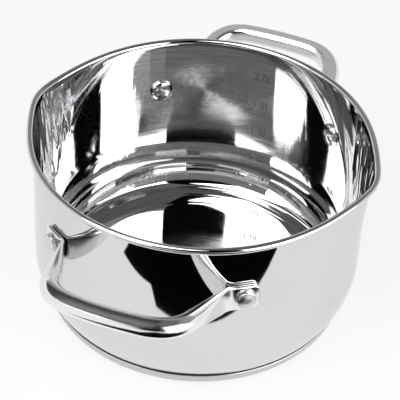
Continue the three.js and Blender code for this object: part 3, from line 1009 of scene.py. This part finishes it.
def handle_half(body, tube, rivets):
    """Half of the rear handle's path, from the foot's tip to the middle of the grip.

    Each station has a place, how round the tube is there, and what the tip's corners take off.
    """
    tip_steps = 8
    foot_steps = 8
    bend_steps = 10
    arm_steps = 24
    corner_steps = 18
    grip_steps = 16
    foot_radius = body.wall_radius + tube.seat_gap + tube.tube_wall + tube.slit / 2
    rivet_angle = math.asin(rivets.spacing / 2 / body.wall_radius)
    bend_angle = rivet_angle - tube.foot_length / foot_radius
    tip_angle = rivet_angle + tube.foot_end / foot_radius
    foot_start = bend_angle + tube.foot_bend / foot_radius
    tip_end = tip_angle - tube.tip_radius / foot_radius

    def on_wall(angle):
        return Vector((
            foot_radius * math.sin(angle), foot_radius * math.cos(angle), rivets.height))

    bend = on_wall(bend_angle)
    corner = Vector((
        tube.grip_spacing / 2, body.wall_radius + tube.reach - tube.grip_bow,
        rivets.height + tube.grip_rise))
    ahead = (corner - bend).normalized()
    arm_start = bend + ahead * tube.foot_bend
    arm_end = corner - ahead * tube.grip_corner
    middle = Vector((0, corner.y + 2 * tube.grip_bow, corner.z))
    far_corner = Vector((-corner.x, corner.y, corner.z))
    grip_start = tube.grip_corner / tube.grip_spacing
    corner_end = bend_at(corner, middle, far_corner, grip_start)
    stations = []
    for i in range(tip_steps + 1):
        share = 1 - math.cos(math.pi / 2 * i / tip_steps)
        trim = tube.tip_radius * (1 - math.sqrt(1 - (1 - share) ** 2))
        stations.append((on_wall(tip_angle - share * tube.tip_radius / foot_radius), 0.0, trim))
    for i in range(1, foot_steps + 1):
        stations.append((on_wall(tip_end + (foot_start - tip_end) * i / foot_steps), 0.0, 0.0))
    for i in range(1, bend_steps + 1):
        stations.append((bend_at(on_wall(foot_start), bend, arm_start, i / bend_steps), 0.0, 0.0))
    for i in range(1, arm_steps + 1):
        stations.append((arm_start.lerp(arm_end, i / arm_steps), smooth(i / arm_steps), 0.0))
    for i in range(1, corner_steps + 1):
        stations.append((bend_at(arm_end, corner, corner_end, i / corner_steps), 1.0, 0.0))
    for i in range(1, grip_steps + 1):
        share = grip_start + (0.5 - grip_start) * i / grip_steps
        stations.append((bend_at(corner, middle, far_corner, share), 1.0, 0.0))
    return stations


def handle_points(name, body, tube, rivets, turn):
    """Points of a whole handle for the pressed tube tree, with the slits in its two ends."""
    half = handle_half(body, tube, rivets)
    mirror = Matrix.Diagonal((-1, 1, 1))
    stations = half + [(mirror @ place, rounded, trim) for place, rounded, trim in half[-2::-1]]
    places = [place for place, _, _ in stations]
    last = len(places) - 1
    heads = [
        (places[min(i + 1, last)] - places[max(i - 1, 0)]).normalized() for i in range(last + 1)]
    rows = [(p, h, r, t, 0.0) for (p, r, t), h in zip(stations, heads)]

    def tip_rows(place, ahead, trim, sign):
        deep = place + sign * ahead * tube.slit_depth
        return [
            (deep, ahead, 0.0, 0.0, tube.tube_wall + tube.slit / 2),
            (deep, ahead, 0.0, 0.0, tube.tube_wall),
            (place + sign * ahead * tube.edge, ahead, 0.0, trim, tube.tube_wall),
            (place, ahead, 0.0, trim, tube.tube_wall - tube.edge),
            (place, ahead, 0.0, trim, tube.edge),
        ]

    first_tip = tip_rows(places[0], heads[0], stations[0][2], 1)
    last_tip = tip_rows(places[last], heads[last], stations[last][2], -1)
    rows[0] = (places[0] + heads[0] * tube.edge, *rows[0][1:])
    rows[last] = (places[last] - heads[last] * tube.edge, *rows[last][1:])
    rows = first_tip + rows + last_tip[::-1]
    spin = Matrix.Rotation(turn, 3, "Z")
    return point_mesh(
        name, [spin @ row[0] for row in rows],
        ahead=[spin @ row[1] for row in rows],
        round=[row[2] for row in rows],
        trim=[row[3] for row in rows],
        inset=[row[4] for row in rows],
        along=distances_along([row[0] for row in rows]))


class POT_OT_handles(bpy.types.Operator):
    """Make both handles: bent tubes with their ends pressed flat"""

    bl_idname = "pot.handles"
    bl_label = "Handles"

    def execute(self, context):
        scene = context.scene
        tube = scene.pot_handle
        steel = tube_steel(scene.pot_finishes)
        tree = pressed_tube_tree()
        for side, turn in (("rear", 0), ("front", math.pi)):
            name = f"handle_tube_{side}"
            points = handle_points(name, scene.pot_body, tube, scene.pot_rivet, turn)
            piece = grown_piece(name, points, tree, {
                "Sides": tube.sides, "Tube": tube.tube,
                "Foot": 2 * tube.tube_wall + tube.slit, "Material": steel})
            dress(piece, "tube_steel", f"handle_{side}")
        return {"FINISHED"}


def rivet_profile(body, tube, rivets):
    """A rivet's profile along its axis, from the inner head to the outer one."""
    head_steps = 16
    edge_steps = 8
    dome_steps = 4
    inner_wall = body.wall_radius - body.sheet
    wall_rise = inner_wall - math.sqrt(inner_wall ** 2 - rivets.inner_radius ** 2)
    inner_seat = -(body.sheet + tube.seat_gap + wall_rise)
    outer_seat = 2 * tube.seat_gap + 2 * tube.tube_wall + tube.slit
    top = outer_seat + rivets.outer_height
    shoulder = top - rivets.dome - rivets.edge
    flat = rivets.outer_radius - rivets.edge
    profile = []
    for i in range(head_steps + 1):
        angle = math.pi / 2 * i / head_steps
        profile.append((
            rivets.inner_radius * math.sin(angle),
            inner_seat - rivets.inner_height * math.cos(angle)))
    profile += [(rivets.shank, inner_seat), (rivets.shank, outer_seat)]
    profile += [(rivets.outer_radius, outer_seat)]
    profile += arc(flat, shoulder, rivets.edge, 0, math.pi / 2, edge_steps)
    for i in range(1, dome_steps + 1):
        share = 1 - i / dome_steps
        profile.append((flat * share, top - rivets.dome * share ** 2))
    return profile


class POT_OT_rivets(bpy.types.Operator):
    """Make the four rivets that hold the handles"""

    bl_idname = "pot.rivets"
    bl_label = "Rivets"

    def execute(self, context):
        scene = context.scene
        body = scene.pot_body
        rivets = scene.pot_rivet
        points = profile_points("rivet_set", rivet_profile(body, scene.pot_handle, rivets))
        piece = grown_piece("rivet_set", points, rivet_tree(), {
            "Sides": rivets.sides, "Head Radius": rivets.inner_radius,
            "Wall Radius": body.wall_radius, "Height": rivets.height,
            "Rivet Angle": math.asin(rivets.spacing / 2 / body.wall_radius),
            "Material": rivet_steel(scene.pot_finishes)})
        dress(
            piece, "rivet_steel", "rivet_rear_left", "rivet_rear_right", "rivet_front_left",
            "rivet_front_right")
        return {"FINISHED"}


def number_mesh(text, height, depth):
    """A number as a flat mesh that is as deep as the etching stands off the wall."""
    curve = bpy.data.curves.new(text, "FONT")
    curve.body = text
    curve.size = height / DIGIT_SHARE
    curve.extrude = depth / 2
    writing = bpy.data.objects.new(text, curve)
    bpy.context.scene.collection.objects.link(writing)
    mesh = bpy.data.meshes.new_from_object(
        writing.evaluated_get(bpy.context.evaluated_depsgraph_get()))
    bpy.data.objects.remove(writing)
    work = bmesh.new()
    work.from_mesh(mesh)
    bmesh.ops.remove_doubles(work, verts=work.verts, dist=SAME_PLACE)
    work.to_mesh(mesh)
    work.free()
    return mesh


class POT_OT_scale(bpy.types.Operator):
    """Make the litre scale that is etched inside the wall"""

    bl_idname = "pot.scale"
    bl_label = "Litre scale"

    def execute(self, context):
        scene = context.scene
        scale = scene.pot_scale
        steel = etched_steel(scene.pot_finishes)
        body = scene.pot_body
        heights = [scale.first_height + i * scale.spacing for i in range(scale.count)]
        radius = body.wall_radius - body.sheet
        points = point_mesh(
            "scale_ticks", [(0, 0, height) for height in heights],
            spread=[inner_wall_at(body, height) / radius for height in heights])
        ticks = grown_piece("scale_ticks", points, tick_tree(), {
            "Radius": radius - scale.depth / 2, "Start": scale.tick_end,
            "Sweep": scale.tick_start - scale.tick_end,
            "Line": scale.line, "Depth": scale.depth, "Material": steel})
        dress(ticks, "mirror_steel")
        for i, height in enumerate(heights):
            litres = (i + 1) / 2
            mesh = number_mesh(f"{litres:.1f}l", scale.number_height, scale.depth)
            for vertex in mesh.vertices:
                across, up, out = vertex.co
                angle = scale.number_start - across / radius
                level = height - scale.number_height / 2 + up
                off = inner_wall_at(body, level) - scale.depth / 2 - out
                vertex.co = (off * math.cos(angle), off * math.sin(angle), level)
            mesh.materials.clear()
            mesh.materials.append(steel)
            number = bpy.data.objects.new(f"scale_number_{i + 1}", mesh)
            scene.collection.objects.link(number)
            dress(number, "mirror_steel")
        return {"FINISHED"}


def seen_rays(tree):
    """Two values: 1 for rays from the camera, and 1 for rays that steel has mirrored."""
    path = add_node(tree, "ShaderNodeLightPath").outputs
    mirrored = add_node(
        tree, "ShaderNodeMath", {0: path["Is Glossy Ray"], 1: path["Is Transmission Ray"]},
        operation="MAXIMUM")
    return path["Is Camera Ray"], mirrored


def bare_material(name):
    """Start a material of the stage with an empty node tree."""
    material = bpy.data.materials.new(name)
    material.use_nodes = True
    material.node_tree.nodes.clear()
    return material, material.node_tree


def floor_material(finishes):
    """Matt white paper: it takes the pot's shadow, and shows as white to the eye and in the steel."""
    seen_glow = 0.8
    mirrored_glow = 0.6
    material, tree = bare_material("white paper, matt")
    paper = add_node(tree, "ShaderNodeBsdfDiffuse", {"Color": (*finishes.floor, 1)})
    glow = add_node(tree, "ShaderNodeEmission", {"Color": WHITE, "Strength": 1.0})
    seen, mirrored = seen_rays(tree)
    in_steel = add_node(
        tree, "ShaderNodeMath", {0: mirrored, 1: mirrored_glow}, operation="MULTIPLY")
    share = add_node(
        tree, "ShaderNodeMath", {0: seen, 1: seen_glow, 2: in_steel}, operation="MULTIPLY_ADD")
    mixed = add_node(tree, "ShaderNodeMixShader", {0: share, 1: paper, 2: glow})
    add_node(tree, "ShaderNodeOutputMaterial", {"Surface": mixed})
    return material


def card_material(name, tone):
    """Card of an even tone."""
    material, tree = bare_material(name)
    even = add_node(tree, "ShaderNodeEmission", {"Color": (*tone, 1), "Strength": 1.0})
    add_node(tree, "ShaderNodeOutputMaterial", {"Surface": even})
    return material


def white_world(stage):
    """Surroundings that are white to the eye and in the steel, and light the pot only softly."""
    world = bpy.data.worlds.new("white surroundings")
    world.use_nodes = True
    tree = world.node_tree
    tree.nodes.clear()
    seen, mirrored = seen_rays(tree)
    shown = add_node(tree, "ShaderNodeMath", {0: seen, 1: mirrored}, operation="MAXIMUM")
    level = add_node(
        tree, "ShaderNodeMapRange", {"Value": shown, "To Min": stage.soft_light, "To Max": 1.0})
    around = add_node(tree, "ShaderNodeBackground", {"Color": WHITE, "Strength": level})
    add_node(tree, "ShaderNodeOutputWorld", {"Surface": around})
    return world


def stage_piece(name, places, faces, material, turn=0):
    """Make a piece of the stage, turned about the pot's axis."""
    mesh = bpy.data.meshes.new(name)
    mesh.from_pydata(places, [], faces)
    mesh.transform(Matrix.Rotation(turn, 4, "Z"))
    mesh.materials.append(material)
    piece = bpy.data.objects.new(name, mesh)
    bpy.context.scene.collection.objects.link(piece)
    return piece


def hold_card(name, places, faces, material, turn=0):
    """Hold a card out of the picture and out of the light: only the steel mirrors it."""
    card = stage_piece(name, places, faces, material, turn)
    card.visible_camera = False
    card.visible_diffuse = False
    card.visible_shadow = False


def sheet_faces(columns, rows):
    """Faces of a sheet whose points come column by column."""
    column_points = rows + 1
    faces = []
    for column in range(columns):
        for row in range(rows):
            low = column * column_points + row
            high = low + column_points
            faces.append((low, low + 1, high + 1, high))
    return faces


def bent_card(name, turns, heights, distance, stage, material):
    """Stand a card bent round the pot, from one turn and height angle to another.

    Turns go round the pot from the camera's side, to the right. Heights are angles above the
    table.
    """
    steps = 36
    places = []
    for i in range(steps + 1):
        turn = turns[0] + (turns[1] - turns[0]) * i / steps
        for k in range(steps + 1):
            height = heights[0] + (heights[1] - heights[0]) * k / steps
            side = distance * math.cos(height)
            places.append((
                side * math.sin(turn), -side * math.cos(turn), distance * math.sin(height)))
    hold_card(name, places, sheet_faces(steps, steps), material, stage.azimuth)


def flag_card(name, turns, near, far, material):
    """Hold a card over a grip, between two turns round the pot's axis from the front.

    Near and far are the radius and the height of its two edges.
    """
    steps = 24
    places = []
    for i in range(steps + 1):
        turn = turns[0] + (turns[1] - turns[0]) * i / steps
        for radius, height in (near, far):
            places.append((radius * math.sin(turn), -radius * math.cos(turn), height))
    hold_card(name, places, sheet_faces(steps, 1), material)


def floor_strip(stage, material):
    """Lay a dark strip on the floor before the pot, with a notch in its near edge."""
    reach = stage.front_width / 2
    outline = [
        (-reach, stage.card_distance), (reach, stage.card_distance),
        (reach, stage.front_right), (-stage.notch_end, stage.notch_near),
        (-stage.notch_start, stage.notch_far), (-reach, stage.front_left)]
    places = [(x, -y, stage.front_lift) for x, y in outline]
    hold_card(
        "stage_front", places, [tuple(range(len(places)))], material, stage.azimuth + stage.roll)


def add_softbox(name, aim, across, along, stage):
    """A soft flat lamp in a plane square to its aim, a turn and a height angle from the pot.

    Across and along are where it starts and ends in its plane, sideways and upwards.
    """
    width = across[1] - across[0]
    tall = along[1] - along[0]
    lamp = bpy.data.lights.new(name, "AREA")
    lamp.shape = "RECTANGLE"
    lamp.size = width
    lamp.size_y = tall
    lamp.energy = stage.lamp_strength * width * tall
    turn = aim[0] + stage.azimuth
    level = math.cos(aim[1])
    away = Vector((level * math.sin(turn), -level * math.cos(turn), math.sin(aim[1])))
    side = Vector((math.cos(turn), math.sin(turn), 0))
    up = side.cross(-away)
    place = stage.lamp_distance * away + side * sum(across) / 2 + up * sum(along) / 2
    holder = bpy.data.objects.new(name, lamp)
    holder.matrix_world = (
        Matrix.Translation(place) @ Matrix((side, up, side.cross(up))).transposed().to_4x4())
    holder.visible_camera = False
    bpy.context.scene.collection.objects.link(holder)


def add_camera(stage):
    """The camera, by its turn, height and roll about the point that it looks at."""
    level = math.cos(stage.elevation)
    back = Vector((
        level * math.sin(stage.azimuth), -level * math.cos(stage.azimuth), math.sin(stage.elevation)))
    right = Vector((math.cos(stage.azimuth), math.sin(stage.azimuth), 0))
    up = back.cross(right)
    rolled_right = math.cos(stage.roll) * right + math.sin(stage.roll) * up
    rolled_up = math.cos(stage.roll) * up - math.sin(stage.roll) * right
    turn = Matrix((rolled_right, rolled_up, back)).transposed().to_4x4()
    lens = bpy.data.cameras.new("camera")
    lens.lens = stage.lens
    lens.clip_start = NEAREST_SEEN
    holder = bpy.data.objects.new("camera", lens)
    holder.matrix_world = Matrix.Translation(Vector(stage.target) + back * stage.distance) @ turn
    bpy.context.scene.collection.objects.link(holder)
    bpy.context.scene.camera = holder


class POT_OT_stage(bpy.types.Operator):
    """Make the floor, the cards that the steel mirrors, the lamps, the surroundings and the camera"""

    bl_idname = "pot.stage"
    bl_label = "Stage"

    def execute(self, context):
        scene = context.scene
        stage = scene.pot_stage
        finishes = scene.pot_finishes
        half = stage.floor_size / 2
        stage_piece(
            "stage_floor", [(-half, -half, 0), (half, -half, 0), (half, half, 0), (-half, half, 0)],
            [(0, 1, 2, 3)], floor_material(finishes))
        black = card_material("black card", finishes.black_card)
        shade = card_material("flag", finishes.flag)
        dark = card_material("dark card", finishes.dark_card)
        grey = card_material("grey card", finishes.grey_card)
        light = card_material("light card", finishes.light_card)
        pale = card_material("pale card", finishes.pale_card)
        floor_strip(stage, black)
        front_turns = (-stage.flag_left, stage.flag_right)
        back_turns = (math.pi - stage.flag_left, math.pi + stage.flag_left)
        flag_card(
            "stage_flag_front", front_turns, stage.front_flag_near, stage.front_flag_far, shade)
        flag_card("stage_flag_back", back_turns, stage.back_flag_near, stage.back_flag_far, light)
        near = stage.front_distance
        far = stage.card_distance
        all_round = (-math.pi, math.pi)
        overhead = (stage.round_heights[1], math.pi / 2)
        for name, turns, heights, distance, material in (
                ("stage_card_front", stage.front_turns, stage.front_heights, near, black),
                ("stage_card_left", stage.left_turns, stage.round_heights, near, pale),
                ("stage_card_far_left", stage.far_left_turns, stage.round_heights, near, light),
                ("stage_card_round", all_round, stage.round_heights, far, grey),
                ("stage_card_top", all_round, overhead, far, dark)):
            bent_card(name, turns, heights, distance, stage, material)
        scene.world = white_world(stage)
        add_softbox("left softbox", stage.left_aim, stage.left_across, stage.left_along, stage)
        add_softbox("right softbox", stage.right_aim, stage.right_across, stage.right_along, stage)
        add_camera(stage)
        scene.view_settings.view_transform = "Standard"
        return {"FINISHED"}


SIZE_GROUPS = {
    "pot_body": PotBodySizes,
    "pot_base": PotBaseSizes,
    "pot_handle": PotHandleSizes,
    "pot_rivet": PotRivetSizes,
    "pot_scale": PotScaleSizes,
    "pot_finishes": PotFinishes,
    "pot_stage": PotStageSizes,
}

OPERATORS = (
    POT_OT_body, POT_OT_base, POT_OT_handles, POT_OT_rivets, POT_OT_scale, POT_OT_stage)


class POT_PT_panel(bpy.types.Panel):
    """List the pot's pieces and its sizes"""

    bl_idname = "POT_PT_panel"
    bl_label = "Cooking pot"
    bl_space_type = "VIEW_3D"
    bl_region_type = "UI"
    bl_category = "Pot"

    def draw(self, context):
        for operator in OPERATORS:
            self.layout.operator(operator.bl_idname)
        for group_name, group in SIZE_GROUPS.items():
            box = self.layout.box()
            for size_name in group.__annotations__:
                box.prop(getattr(context.scene, group_name), size_name)


def register():
    for group_name, group in SIZE_GROUPS.items():
        bpy.utils.register_class(group)
        setattr(bpy.types.Scene, group_name, PointerProperty(type=group))
    for made in (*OPERATORS, POT_PT_panel):
        bpy.utils.register_class(made)


def unregister():
    for made in (POT_PT_panel, *reversed(OPERATORS)):
        bpy.utils.unregister_class(made)
    for group_name, group in reversed(SIZE_GROUPS.items()):
        delattr(bpy.types.Scene, group_name)
        bpy.utils.unregister_class(group)


def main():
    register()
    bpy.ops.pot.stage()
    bpy.ops.pot.body()
    bpy.ops.pot.base()
    bpy.ops.pot.handles()
    bpy.ops.pot.rivets()
    bpy.ops.pot.scale()


if __name__ == "__main__":
    main()
